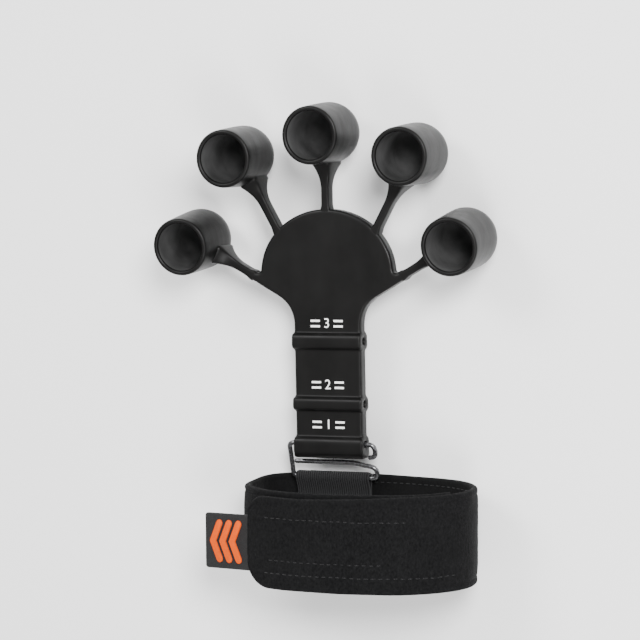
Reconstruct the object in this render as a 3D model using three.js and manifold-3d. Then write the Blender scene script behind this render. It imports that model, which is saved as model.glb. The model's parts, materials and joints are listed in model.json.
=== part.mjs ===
// Finger exerciser: a silicone hand stretcher hooked by a bent wire to a hook-and-loop wristband.
// Millimetres. The exerciser lies on its back on a table: +Z is up, +Y runs from the wristband
// to the fingertips, +X is to the right of the hand. The origin is the middle of the footprint.
import * as THREE from "three";
import { mergeVertices } from "three/addons/utils/BufferGeometryUtils.js";
import Module from "manifold-3d";

const wasm = await Module();
wasm.setup();

// ---- Driving dimensions ----
const GAP = 0.3; // between pieces that touch on the real object

// Silicone hand, in its own frame: the palm disc's centre, +Z out of its front face.
const HAND_HEIGHT = 15.4; // palm mid-plane above the table
const HAND_TILT = THREE.MathUtils.degToRad(3); // the fingertip side stands higher
const PLATE_T = 6;
const PALM_RX = 28.9;
const PALM_RY = 26.1;
const STEM_W = 29.2;
const STEM_END = -75.6;
const SHOULDER_FILLET = 8;
const EDGE_ROUND = 0.9;

// Cross humps on the stem, each with a tunnel for the wire: [centre, length, tunnel].
const HUMPS = [
  [-27.8, 6.6, -27.8],
  [-53.4, 5.6, -53.4],
  [-71.3, 8.8, -69.9],
];
const HUMP_FRONT = 1.9;
const HUMP_BACK = 0.9;
const HUMP_SIDE = 0.5;
const TUNNEL_R = 1.5;
const TUNNEL_Z = 0.4;

// Printed level marks on the stem: centres between the humps.
const MARKS = { level_mark_3: -20.5, level_mark_2: -45.6, level_mark_1: -61.9 };
const MARK_SIZE = [14.8, 4.2, 0.25];

// Fingers, left to right: cup centre, direction of its arm from the palm, lean of its mouth.
const FINGERS = [
  { at: [-58.2, 13.8], arm: 150, lean: 6.4 },
  { at: [-38.0, 48.0], arm: 118.5, lean: 2 },
  { at: [0, 56.9], arm: 90, lean: 2 },
  { at: [38.0, 48.0], arm: 61.5, lean: 2 },
  { at: [58.2, 13.8], arm: 30, lean: 6.4 },
];
const ARM_W = 3.3;
const ARM_ROOT_GAP = 0.35;
const SHOULDER_REACH = 31; // the outer arms leave the palm at this distance
const CUP_Z = -3.5; // centre of the domed end, below the palm's mid-plane
const CUP_R = 12.5;
const CUP_MOUTH_R = 11.8;
const CUP_DEPTH = 22; // dome centre to mouth
const CUP_WALL = 2;
const FLARE_LENGTH = 9; // widening of the arm before the cup wall
const FLARE_W = 8.5;
const FLARE_UP = 7;
const FLARE_DOWN = 8;
const CUP_STUB = 1.8; // the part of the flare that belongs to the cup

// Wire: lower ring plus an open hook bar through the last tunnel.
const WIRE_R = 1;
const WIRE_HALF = 18.7;
const RING_BAR = { y: -84, z: 6.9 }; // axis of the lower bar
const RING_MID = 6.9; // the ring's middle bar, from the lower bar
const RING_SLOPE = 2.2; // its right end runs down by this much
const HOOK_CURL_R = 2.9;

// Wristband: an oval, soft strap wound once and a half, standing on its flattened back wall.
const BAND_X = 15.25;
const BAND_Y = -104.3;
const BAND_HALF = 47.15;
const BAND_RISE = 23.95; // half the height of the inner turn
const BAND_W = 38.5;
const BAND_LEAN = 0.1; // the front wall sits this much nearer -Y for each mm of height
const BAND_POWER = { top: 2.3, lowLeft: 4, lowRight: 2.1 };
const BAND_FLAT = 0.35; // depth of the flat that lies on the table
const STRAP = { fabric: [-0.65, 0], core: [-1.9, -0.9], lining: [-2.65, -2.15] };
const FLAP_LIFT = 4.1; // outer face of the flap above the inner turn
const TURN_START = 22; // degrees round the oval, from +X towards +Z
const RAMP_START = 285;
const FLAP_START = 372;
const FLAP_LEAVE = 482; // where the flap's end leaves the oval and runs straight
const FLAP_TAIL = 10;
const TAIL_DROP = 2; // degrees by which the straight end lifts off the tangent
const FLAP_CORNERS = { upper: 4.5, lower: 9 };
const HOOK_PATCH = { from: 435, to: 481, offsets: [0.3, 1.15] };
const SEAM_INSET = 3;
const SEAM_W = 0.5;

// Pull tab at the flap's end, with three raised chevrons.
const TAB = { length: 23.5, width: 22.4, thick: 1.5, drop: 20, turn: -1.5, shift: -1.2, gap: 0.7 };
const CHEVRON = { half: 8.7, reach: 3.6, stroke: 4.1, pitch: 5.3, first: 3, thick: 0.35 };

// Webbing folded over the ring's lower bar and sewn inside the back wall.
const WEB_W = 32;
const WEB_X = -1.1;
const WEB_T = 1.2;
const WEB_HINGE_Y = -92;
const WEB_END_Y = -112;

// ---- Helpers ----
const V = (x, y, z) => new THREE.Vector3(x, y, z);
const rad = THREE.MathUtils.degToRad;

function solid(geometry) {
  const plain = geometry.index ? geometry.toNonIndexed() : geometry.clone();
  const bare = new THREE.BufferGeometry();
  bare.setAttribute("position", plain.getAttribute("position"));
  const merged = mergeVertices(bare, 1e-4);
  return new wasm.Manifold(
    new wasm.Mesh({
      numProp: 3,
      vertProperties: merged.attributes.position.array,
      triVerts: new Uint32Array(merged.index.array),
    }),
  );
}

function geometryOf(made) {
  const mesh = made.getMesh();
  const geometry = new THREE.BufferGeometry();
  const stride = mesh.numProp;
  const position = new Float32Array(mesh.numVert * 3);
  for (let i = 0; i < mesh.numVert; i++) {
    position.set(mesh.vertProperties.subarray(i * stride, i * stride + 3), i * 3);
  }
  geometry.setAttribute("position", new THREE.BufferAttribute(position, 3));
  geometry.setIndex(new THREE.BufferAttribute(mesh.triVerts, 1));
  return geometry.toNonIndexed();
}

function shapeOf(points) {
  return new THREE.Shape(points.map(([x, y]) => new THREE.Vector2(x, y)));
}

function extrudeZ(shape, low, high, curveSegments = 12) {
  const depth = high - low;
  const made = new THREE.ExtrudeGeometry(shape, { depth, bevelEnabled: false, curveSegments });
  return made.translate(0, 0, low);
}

// A shape drawn in (y, z), extruded along X.
function extrudeX(shape, low, high, curveSegments = 12) {
  const basis = new THREE.Matrix4().makeBasis(V(0, 1, 0), V(0, 0, 1), V(1, 0, 0));
  return extrudeZ(shape, low, high, curveSegments).applyMatrix4(basis);
}

// A shape drawn in (x, z), extruded along Y.
function extrudeY(shape, low, high, curveSegments = 12) {
  const basis = new THREE.Matrix4().makeBasis(V(1, 0, 0), V(0, 0, 1), V(0, -1, 0));
  return extrudeZ(shape, -high, -low, curveSegments).applyMatrix4(basis);
}

const materials = {
  silicone: { color: 0x262524, roughness: 0.42, metalness: 0 },
  print: { color: 0xf1f1ee, roughness: 0.6, metalness: 0 },
  wire: { color: 0x2b2b2d, roughness: 0.35, metalness: 0.8 },
  webbing: { color: 0x17171a, roughness: 0.8, metalness: 0 },
  thread: { color: 0x1d1d1f, roughness: 0.85, metalness: 0 },
  loop: { color: 0x1b1b1c, roughness: 0.97, metalness: 0 },
  foam: { color: 0x141414, roughness: 0.95, metalness: 0 },
  lining: { color: 0x202022, roughness: 0.9, metalness: 0 },
  hooks: { color: 0x121213, roughness: 0.7, metalness: 0 },
  tab: { color: 0x2b2b2c, roughness: 0.75, metalness: 0 },
  chevron: { color: 0xf56a1c, roughness: 0.55, metalness: 0 },
};

const group = new THREE.Group();
const hand = new THREE.Group();
hand.position.z = HAND_HEIGHT;
hand.rotation.x = HAND_TILT;
group.add(hand);

function add(parent, name, geometry, material) {
  const mesh = new THREE.Mesh(geometry, new THREE.MeshStandardMaterial(materials[material]));
  mesh.name = name;
  parent.add(mesh);
  return mesh;
}

// ---- Silicone palm with its stem ----
// Where the outer arm's upper edge, followed back from its root, meets the palm's ellipse.
function meetPalm(from, along) {
  const a = (along.x / PALM_RX) ** 2 + (along.y / PALM_RY) ** 2;
  const b = -2 * ((from.x * along.x) / PALM_RX ** 2 + (from.y * along.y) / PALM_RY ** 2);
  const c = (from.x / PALM_RX) ** 2 + (from.y / PALM_RY) ** 2 - 1;
  const back = (-b - Math.sqrt(b * b - 4 * a * c)) / (2 * a);
  return from.clone().addScaledVector(along, -back);
}

function palmOutline() {
  const half = STEM_W / 2;
  const side = FINGERS[4];
  const along = V(Math.cos(rad(side.arm)), Math.sin(rad(side.arm)), 0);
  const across = V(along.y, -along.x, 0);
  const back = Math.hypot(side.at[0], side.at[1]) - SHOULDER_REACH;
  const root = V(side.at[0], side.at[1], 0).addScaledVector(along, -back);
  const low = root.clone().addScaledVector(across, ARM_W / 2 + 0.1);
  const high = root.clone().addScaledVector(across, -ARM_W / 2 - 0.1);
  const meet = meetPalm(high, along);
  const turn = Math.atan2(meet.y / PALM_RY, meet.x / PALM_RX) + 0.12;
  const edge = [PALM_RX * Math.cos(turn), PALM_RY * Math.sin(turn)];
  // The outer arm's lower edge carries on down to the stem as the shoulder's flank.
  const corner = V(half, low.y - ((low.x - half) * along.y) / along.x, 0);
  const flank = corner.clone().addScaledVector(along, SHOULDER_FILLET);
  const shape = new THREE.Shape();
  shape.moveTo(-half, STEM_END);
  shape.lineTo(half, STEM_END);
  shape.lineTo(half, corner.y - SHOULDER_FILLET);
  shape.quadraticCurveTo(corner.x, corner.y, flank.x, flank.y);
  shape.lineTo(low.x, low.y);
  shape.lineTo(high.x, high.y);
  shape.quadraticCurveTo(meet.x, meet.y, edge[0], edge[1]);
  shape.absellipse(0, 0, PALM_RX, PALM_RY, turn, Math.PI - turn, false, 0);
  shape.quadraticCurveTo(-meet.x, meet.y, -high.x, high.y);
  shape.lineTo(-low.x, low.y);
  shape.lineTo(-flank.x, flank.y);
  shape.quadraticCurveTo(-corner.x, corner.y, -half, corner.y - SHOULDER_FILLET);
  shape.closePath();
  return shape;
}

function humpProfile([y, length]) {
  const half = length / 2;
  const face = PLATE_T / 2;
  const shape = new THREE.Shape();
  shape.moveTo(y - half, -face + 0.6);
  shape.quadraticCurveTo(y - half, -face - HUMP_BACK, y - half * 0.45, -face - HUMP_BACK);
  shape.lineTo(y + half * 0.45, -face - HUMP_BACK);
  shape.quadraticCurveTo(y + half, -face - HUMP_BACK, y + half, -face + 0.6);
  shape.lineTo(y + half, face - 0.6);
  shape.quadraticCurveTo(y + half, face + HUMP_FRONT, y + half * 0.35, face + HUMP_FRONT);
  shape.lineTo(y - half * 0.35, face + HUMP_FRONT);
  shape.quadraticCurveTo(y - half, face + HUMP_FRONT, y - half, face - 0.6);
  shape.closePath();
  return shape;
}

function palmWithStem() {
  const plate = new THREE.ExtrudeGeometry(palmOutline(), {
    depth: PLATE_T - 2 * EDGE_ROUND,
    bevelEnabled: true,
    bevelThickness: EDGE_ROUND,
    bevelSize: EDGE_ROUND,
    bevelOffset: -EDGE_ROUND,
    bevelSegments: 2,
    curveSegments: 28,
  });
  let made = solid(plate.translate(0, 0, EDGE_ROUND - PLATE_T / 2));
  const half = STEM_W / 2 + HUMP_SIDE;
  for (const hump of HUMPS) {
    made = made.add(solid(extrudeX(humpProfile(hump), -half, half, 5)));
  }
  for (const [, , y] of HUMPS) {
    const tunnel = new THREE.CylinderGeometry(TUNNEL_R, TUNNEL_R, STEM_W + 6, 14);
    tunnel.rotateZ(Math.PI / 2);
    made = made.subtract(solid(tunnel.translate(0, y, TUNNEL_Z)));
  }
  return geometryOf(made);
}

const palm = add(hand, "palm_and_stem", palmWithStem(), "silicone");

for (const [name, y] of Object.entries(MARKS)) {
  const [width, height, thick] = MARK_SIZE;
  const plate = new THREE.BoxGeometry(width, height, thick);
  const mark = add(hand, name, plate, "print");
  mark.position.set(0, y, PLATE_T / 2 + GAP + thick / 2);
}

// ---- Arms and finger cups ----
// Drawn along +X: the cup's centre is at the origin and the arm comes in from -X.
const FLARE_X = -(CUP_R + FLARE_LENGTH);
const ARM_START = FLARE_X - 30;

function armWithFlare() {
  const inside = -CUP_R * 0.8;
  const wide = FLARE_W / 2;
  const narrow = ARM_W / 2;
  const plan = new THREE.Shape();
  plan.moveTo(ARM_START, -narrow);
  plan.lineTo(FLARE_X, -narrow);
  plan.quadraticCurveTo(-CUP_R - 3, -narrow, -CUP_R, -wide);
  plan.lineTo(inside, -wide);
  plan.lineTo(inside, wide);
  plan.lineTo(-CUP_R, wide);
  plan.quadraticCurveTo(-CUP_R - 3, narrow, FLARE_X, narrow);
  plan.lineTo(ARM_START, narrow);
  plan.closePath();
  const face = PLATE_T / 2;
  const side = new THREE.Shape();
  side.moveTo(ARM_START, -face);
  side.lineTo(FLARE_X, -face);
  side.quadraticCurveTo(-CUP_R - 4, -face, -CUP_R, -FLARE_DOWN);
  side.lineTo(inside, -FLARE_DOWN);
  side.lineTo(inside, FLARE_UP);
  side.lineTo(-CUP_R, FLARE_UP);
  side.quadraticCurveTo(-CUP_R - 4, face, FLARE_X, face);
  side.lineTo(ARM_START, face);
  side.closePath();
  const across = solid(extrudeY(side, -FLARE_W, FLARE_W, 6));
  return solid(extrudeZ(plan, -CUP_R, CUP_R, 6)).intersect(across);
}

// The part of a solid between two positions along X.
function between(made, low, high) {
  const slab = new THREE.BoxGeometry(high - low, 60, 60);
  return made.intersect(solid(slab.translate((low + high) / 2, 0, 0)));
}

function lathe(points, segments = 30) {
  const profile = points.map(([r, z]) => new THREE.Vector2(r, z));
  return new THREE.LatheGeometry(profile, segments).rotateX(Math.PI / 2);
}

function domeArc(radius, steps) {
  const points = [[0, -radius]];
  for (let i = 1; i <= steps; i++) {
    const turn = (Math.PI / 2) * (i / steps);
    points.push([radius * Math.sin(turn), -radius * Math.cos(turn)]);
  }
  return points;
}

function cup() {
  const inner = CUP_R - CUP_WALL;
  const mouth = CUP_MOUTH_R - CUP_WALL;
  const lip = 0.7;
  const outside = [
    ...domeArc(CUP_R, 8),
    [CUP_MOUTH_R, CUP_DEPTH - lip],
    [CUP_MOUTH_R - lip, CUP_DEPTH],
    [0, CUP_DEPTH],
  ];
  const hollow = [...domeArc(inner, 7), [mouth, CUP_DEPTH + 1], [0, CUP_DEPTH + 1]];
  return { outside: solid(lathe(outside)), hollow: solid(lathe(hollow)) };
}

FINGERS.forEach((finger, i) => {
  const number = i + 1;
  const turn = new THREE.Matrix4().makeRotationZ(rad(finger.arm));
  const lean = new THREE.Matrix4().makeRotationX(rad(finger.lean));
  const cupPose = new THREE.Matrix4().makeTranslation(...finger.at, CUP_Z).multiply(lean);
  const armPose = new THREE.Matrix4().makeTranslation(...finger.at, 0).multiply(turn);
  const posed = (made, pose) => solid(geometryOf(made).applyMatrix4(pose));
  const { outside, hollow } = cup();
  const arm = armWithFlare();
  const stub = between(arm, -CUP_R - CUP_STUB, 0);
  const body = posed(outside, cupPose)
    .add(posed(stub, armPose))
    .subtract(posed(hollow, cupPose));
  add(hand, `cup_${number}`, geometryOf(body), "silicone");

  // The arm's root is cut to the palm's outline, a gap away from it.
  const bar = between(arm, ARM_START, -CUP_R - CUP_STUB - GAP);
  const near = V(ARM_ROOT_GAP, 0, 0).applyMatrix4(turn);
  const cutter = palm.geometry.clone().scale(1, 1, 1.6);
  const pieces = posed(bar, armPose)
    .subtract(solid(cutter))
    .subtract(solid(cutter.clone().translate(near.x, near.y, 0)))
    .decompose();
  const outward = (piece) => {
    const box = piece.boundingBox();
    return Math.hypot(box.min[0] + box.max[0], box.min[1] + box.max[1]);
  };
  pieces.sort((a, b) => outward(b) - outward(a));
  add(hand, `arm_${number}`, geometryOf(pieces[0]), "silicone");
});

// ---- Bent wire: hook bar, left side, lower ring ----
function wireHook() {
  hand.updateMatrixWorld(true);
  const tunnel = V(0, HUMPS[2][2], TUNNEL_Z).applyMatrix4(hand.matrixWorld);
  const up = V(0, tunnel.y - RING_BAR.y, tunnel.z - RING_BAR.z);
  const far = up.length();
  up.normalize();
  const at = (x, u) => V(x, RING_BAR.y, RING_BAR.z).addScaledVector(up, u);
  const h = WIRE_HALF;
  const path = new THREE.CurvePath();
  const corner = (from, via, to) => path.add(new THREE.QuadraticBezierCurve3(from, via, to));
  const line = (from, to) => path.add(new THREE.LineCurve3(from, to));
  const curl = h - HOOK_CURL_R;
  const r = HOOK_CURL_R;
  corner(at(curl + 0.5, far - 2 * r), at(h + 0.2, far - 2 * r), at(h, far - r));
  corner(at(h, far - r), at(h - 0.1, far), at(curl, far));
  line(at(curl, far), at(2.4 - h, far));
  corner(at(2.4 - h, far), at(-h - 0.3, far), at(-h, far - 2.6));
  line(at(-h, far - 2.6), at(-h, 2.4));
  corner(at(-h, 2.4), at(-h, 0), at(2.4 - h, 0));
  line(at(2.4 - h, 0), at(h - 2.4, 0));
  const low = RING_MID - RING_SLOPE;
  corner(at(h - 3.2, 0), at(h - 0.3, 0), at(h - 0.3, low / 2));
  corner(at(h - 0.3, low / 2), at(h - 0.3, low), at(h - 3, low + 0.6));
  line(at(h - 2.2, low + 0.6), at(h - 9, RING_MID - 0.2));
  line(at(h - 9, RING_MID - 0.2), at(-h + 2 * WIRE_R + 0.4, RING_MID));
  const section = new THREE.Shape().absarc(0, 0, WIRE_R, 0, 2 * Math.PI, false);
  return new THREE.ExtrudeGeometry(section, {
    steps: 150,
    curveSegments: 5,
    bevelEnabled: false,
    extrudePath: path,
  });
}

add(group, "wire_hook", wireHook(), "wire");

// ---- Wristband ----
// A point on the oval at an angle in degrees, moved out along the oval's normal.
function ovalPoint(degrees, offset) {
  const at = (turn) => {
    const c = Math.cos(turn);
    const s = Math.sin(turn);
    const lowPower = c < 0 ? BAND_POWER.lowLeft : BAND_POWER.lowRight;
    const power = 2 / (s < 0 ? lowPower : BAND_POWER.top);
    const x = BAND_X + BAND_HALF * Math.sign(c) * Math.abs(c) ** power;
    const z = BAND_RISE + BAND_RISE * Math.sign(s) * Math.abs(s) ** power;
    return [x, z];
  };
  const turn = rad(degrees);
  const [x, z] = at(turn);
  const [x0, z0] = at(turn - 0.02);
  const [x1, z1] = at(turn + 0.02);
  const length = Math.hypot(x1 - x0, z1 - z0);
  const out = [(z1 - z0) / length, -(x1 - x0) / length];
  return [x + out[0] * offset, z + out[1] * offset];
}

// How far the strap's outer face stands off the oval: it ramps out to pass over its own start.
function lift(degrees) {
  const share = THREE.MathUtils.clamp((degrees - RAMP_START) / (FLAP_START - RAMP_START), 0, 1);
  return FLAP_LIFT * THREE.MathUtils.smoothstep(share, 0, 1);
}

// The flap's straight end: a point at a distance past FLAP_LEAVE, and the way it runs.
function tailFrame() {
  const [x0, z0] = ovalPoint(FLAP_LEAVE - 1, FLAP_LIFT);
  const [x1, z1] = ovalPoint(FLAP_LEAVE, FLAP_LIFT);
  const heading = Math.atan2(z1 - z0, x1 - x0) - rad(TAIL_DROP);
  return { x: x1, z: z1, along: [Math.cos(heading), Math.sin(heading)] };
}

function tailPoint(distance, offset) {
  const { x, z, along } = tailFrame();
  const out = [along[1], -along[0]];
  return [
    x + along[0] * distance + out[0] * offset,
    z + along[1] * distance + out[1] * offset,
  ];
}

function lean(geometry) {
  const position = geometry.getAttribute("position");
  for (let i = 0; i < position.count; i++) {
    const shift = -BAND_LEAN * (position.getZ(i) - BAND_RISE);
    position.setY(i, position.getY(i) + shift);
  }
  return geometry;
}

// A strip of strap between two angles and two offsets, standing on the table.
function strip(from, to, [inner, outer], width, tail = 0) {
  const steps = Math.ceil((to - from) / 5);
  const run = (offset) => {
    const points = [];
    for (let i = 0; i <= steps; i++) {
      const degrees = from + ((to - from) * i) / steps;
      points.push(ovalPoint(degrees, lift(degrees) + offset));
    }
    if (tail > 0) points.push(tailPoint(tail, offset));
    return points.map(([x, z]) => [x, Math.max(z, BAND_FLAT)]);
  };
  const outline = shapeOf([...run(outer), ...run(inner).reverse()]);
  const low = BAND_Y - width / 2;
  return extrudeY(outline, low, low + width).translate(0, 0, -BAND_FLAT);
}

// The flap's strips end in two rounded corners.
function flapStrip(from, offsets, inset) {
  const width = BAND_W - 2 * inset;
  const made = strip(from, FLAP_LEAVE, offsets, width, FLAP_TAIL - inset);
  const end = tailPoint(FLAP_TAIL - inset, 0)[0];
  const low = BAND_Y - width / 2;
  const high = BAND_Y + width / 2;
  const upper = FLAP_CORNERS.upper - inset;
  const lower = FLAP_CORNERS.lower - inset;
  const mask = new THREE.Shape();
  mask.moveTo(BAND_X + 2 * BAND_HALF, low - 1);
  mask.lineTo(BAND_X + 2 * BAND_HALF, high + 1);
  mask.lineTo(end + upper, high + 1);
  mask.lineTo(end + upper, high);
  mask.quadraticCurveTo(end, high, end - 1, high - upper - 1);
  mask.lineTo(end - 1, low + lower + 1);
  mask.quadraticCurveTo(end, low, end + lower, low);
  mask.lineTo(end + lower, low - 1);
  mask.closePath();
  return solid(made).intersect(solid(extrudeZ(mask, -1, 4 * BAND_RISE, 6)));
}

for (const [layer, offsets] of Object.entries(STRAP)) {
  const material = { fabric: "loop", core: "foam", lining: "lining" }[layer];
  const inset = layer === "core" ? 0.6 : 0;
  const turn = strip(TURN_START, FLAP_START - 1, offsets, BAND_W - 2 * inset);
  add(group, `band_${layer}`, lean(turn), material);
  const flap = flapStrip(FLAP_START, offsets, inset);
  add(group, `flap_${layer}`, lean(geometryOf(flap)), material);
}

// Hook tape under the flap, between it and the inner turn.
function hookPatch() {
  const { from, to, offsets } = HOOK_PATCH;
  const under = offsets.map((offset) => offset - FLAP_LIFT);
  return lean(strip(from, to, under, BAND_W - 6));
}
add(group, "hook_patch", hookPatch(), "hooks");

// The seam round the flap's edge: a thin frame of thread on the fabric.
function flapSeam() {
  const frame = flapStrip(FLAP_START + 5, [GAP, GAP + 0.35], SEAM_INSET);
  const window = flapStrip(FLAP_START + 6, [0, 1], SEAM_INSET + SEAM_W);
  return lean(geometryOf(frame.subtract(window)));
}
add(group, "flap_seam", flapSeam(), "thread");

// ---- Pull tab and its chevrons ----
function chevron() {
  const { half, reach, stroke } = CHEVRON;
  return shapeOf([
    [0, 0],
    [-reach, half],
    [-reach - stroke, half],
    [-stroke, 0],
    [-reach - stroke, -half],
    [-reach, -half],
  ]);
}

const tab = new THREE.Group();
{
  const edge = tailPoint(FLAP_TAIL + TAB.gap, (STRAP.lining[0] + STRAP.fabric[1]) / 2);
  const y = BAND_Y - BAND_LEAN * (edge[1] - BAND_RISE) + TAB.shift;
  tab.position.set(edge[0], y, edge[1] - BAND_FLAT);
  tab.rotation.set(0, -rad(TAB.drop), rad(TAB.turn));
  group.add(tab);
}
// Tab frame: -X runs out of the strap, +Z is its outer face.
const plate = new THREE.BoxGeometry(TAB.length, TAB.width, TAB.thick);
add(tab, "pull_tab", plate.translate(-TAB.length / 2, 0, 0), "tab");
for (let i = 0; i < 3; i++) {
  const low = TAB.thick / 2 + GAP;
  const mark = extrudeZ(chevron(), low, low + CHEVRON.thick);
  mark.rotateZ(Math.PI);
  const tip = -CHEVRON.first - CHEVRON.reach - CHEVRON.stroke - i * CHEVRON.pitch;
  add(tab, `chevron_${i + 1}`, mark.translate(tip, 0, 0), "chevron");
}

// ---- Webbing ----
function webbingLoop() {
  const { y, z } = RING_BAR;
  const inner = WIRE_R + GAP + 0.05;
  const outer = inner + WEB_T;
  const low = z - outer;
  const top = low + 2 * WEB_T;
  const shape = new THREE.Shape();
  shape.moveTo(WEB_HINGE_Y, low);
  shape.lineTo(y, low);
  shape.absarc(y, z, outer, -Math.PI / 2, Math.PI * 0.62, false);
  shape.lineTo(WEB_HINGE_Y + 1.5, top);
  shape.lineTo(WEB_HINGE_Y, top);
  shape.closePath();
  shape.holes.push(new THREE.Path().absarc(y, z, inner, 0, 2 * Math.PI, true));
  return extrudeX(shape, WEB_X - WEB_W / 2, WEB_X + WEB_W / 2, 10);
}
add(group, "webbing_loop", webbingLoop(), "webbing");

const WEB_LOW = RING_BAR.z - WIRE_R - GAP - 0.05 - WEB_T;
{
  const length = WEB_HINGE_Y - 0.4 - WEB_END_Y;
  const tail = new THREE.BoxGeometry(WEB_W, length, 2 * WEB_T);
  add(group, "webbing_tail", tail, "webbing").position.set(
    WEB_X,
    WEB_END_Y + length / 2,
    WEB_LOW + WEB_T,
  );
  const rim = (grow) => shapeOf([
    [WEB_X - WEB_W / 2 + 3 - grow, WEB_END_Y + 3 - grow],
    [WEB_X + WEB_W / 2 - 3 + grow, WEB_END_Y + 3 - grow],
    [WEB_X + WEB_W / 2 - 3 + grow, WEB_HINGE_Y - 3 + grow],
    [WEB_X - WEB_W / 2 + 3 - grow, WEB_HINGE_Y - 3 + grow],
  ]);
  const frame = rim(0.3);
  frame.holes.push(rim(-0.3));
  const low = WEB_LOW + 2 * WEB_T + GAP;
  add(group, "webbing_box_stitch", extrudeZ(frame, low, low + 0.35), "thread");
}

// ---- Frame: the origin is the middle of the footprint ----
group.updateMatrixWorld(true);
const box = new THREE.Box3().setFromObject(group, true);
const middle = box.getCenter(new THREE.Vector3());
group.position.set(-middle.x, -middle.y, -box.min.z);

export default group;
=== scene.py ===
"""Looks for the finger exerciser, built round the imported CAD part. Blender 4.5.

The script works in millimetres in the CAD part's own frame and scales to metres at the mesh.
Local frames: "hand" is the silicone plate's middle; "arm" has the cup's centre at its origin and
the arm coming in from -X; the strap is described by a path in X and Z, swept along Y.
"""

import json
import math

import bpy
from mathutils import Matrix, Vector, noise


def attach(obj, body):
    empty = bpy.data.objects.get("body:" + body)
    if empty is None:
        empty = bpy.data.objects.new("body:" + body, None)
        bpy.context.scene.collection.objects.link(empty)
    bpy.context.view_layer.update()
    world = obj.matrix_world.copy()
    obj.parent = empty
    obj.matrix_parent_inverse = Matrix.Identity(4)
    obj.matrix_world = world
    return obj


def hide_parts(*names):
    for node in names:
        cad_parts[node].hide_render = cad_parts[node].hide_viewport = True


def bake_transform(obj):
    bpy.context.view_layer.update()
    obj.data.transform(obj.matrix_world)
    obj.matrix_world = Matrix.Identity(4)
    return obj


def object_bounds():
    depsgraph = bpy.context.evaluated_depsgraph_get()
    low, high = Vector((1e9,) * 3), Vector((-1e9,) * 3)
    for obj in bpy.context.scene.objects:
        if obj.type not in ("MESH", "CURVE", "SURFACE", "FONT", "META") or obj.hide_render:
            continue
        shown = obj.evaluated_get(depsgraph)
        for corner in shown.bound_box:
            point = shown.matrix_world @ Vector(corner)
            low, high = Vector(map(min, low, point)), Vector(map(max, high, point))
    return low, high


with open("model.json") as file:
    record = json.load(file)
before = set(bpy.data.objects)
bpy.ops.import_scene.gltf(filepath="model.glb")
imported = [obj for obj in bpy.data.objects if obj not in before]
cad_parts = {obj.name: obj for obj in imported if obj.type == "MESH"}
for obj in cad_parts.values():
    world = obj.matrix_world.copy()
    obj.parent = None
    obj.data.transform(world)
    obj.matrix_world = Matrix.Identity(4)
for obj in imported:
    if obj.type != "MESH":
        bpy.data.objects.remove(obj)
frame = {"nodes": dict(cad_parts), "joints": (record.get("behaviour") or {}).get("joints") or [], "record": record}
CAD_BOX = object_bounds()
MM = 0.001
JOINTS = {joint["name"]: joint for joint in frame["joints"]}

# ---- The CAD part's dimensions, in millimetres ----
HAND_HEIGHT, HAND_TILT = 15.4, math.radians(3)
PALM_RX, PALM_RY, PLATE_T = 28.9, 26.1, 6.0
MARKS = {"level_mark_3": (-20.5, "3"), "level_mark_2": (-45.6, "2"), "level_mark_1": (-61.9, "1")}
FINGERS = [  # cup centre, heading of the arm, lean of the cup's mouth
    ((-58.2, 13.8), 150, 6.4),
    ((-38.0, 48.0), 118.5, 2),
    ((0, 56.9), 90, 2),
    ((38.0, 48.0), 61.5, 2),
    ((58.2, 13.8), 30, 6.4),
]
SHOULDER_REACH = 31  # the outer arms leave the palm at this distance
ARM_W = 3.3
CUP_Z, CUP_R, CUP_MOUTH_R, CUP_DEPTH, CUP_WALL = -3.5, 12.5, 11.8, 22, 2
FLARE_W, FLARE_UP, FLARE_DOWN = 8.5, 7, 8
TUNNEL_Y, TUNNEL_Z = -69.9, 0.4
WIRE_R, WIRE_HALF, HOOK_CURL_R = 1, 18.7, 2.9
RING_BAR_Y, RING_BAR_Z, RING_MID, RING_SLOPE = -84, 6.9, 6.9, 2.2
BAND_X, BAND_Y, BAND_HALF, BAND_RISE, BAND_W = 15.25, -104.3, 47.15, 23.95, 38.5
BAND_LEAN, BAND_FLAT = 0.1, 0.35
TOP_POWER, LOW_LEFT_POWER, LOW_RIGHT_POWER = 2.3, 4, 2.1
STRAP_OUT, STRAP_IN = 0, -2.65
FLAP_LIFT = 4.1
TURN_START, RAMP_START, FLAP_START, FLAP_LEAVE = 22, 285, 372, 482  # degrees round the oval
FLAP_TAIL, TAIL_DROP = 10, math.radians(2)
HOOK_TAPE_FROM, HOOK_TAPE_TO = 435, 481  # degrees round the oval
HOOK_TAPE_GAP, HOOK_TAPE_UNDER = 0.3, 1.15  # from the strap's inner face to the tape's two faces
SEAM = 3.0  # from the rim of the strap, or of the webbing, to its stitches
TAB_LENGTH, TAB_W, TAB_T = 23.5, 22.4, 1.5
CHEVRON_HALF, CHEVRON_REACH, CHEVRON_PITCH, CHEVRON_FIRST = 8.7, 3.6, 5.3, 3.0
WEB_W, WEB_X, WEB_T, WEB_HINGE_Y, WEB_END_Y = 32, -1.1, 1.2, -92, -112

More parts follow.
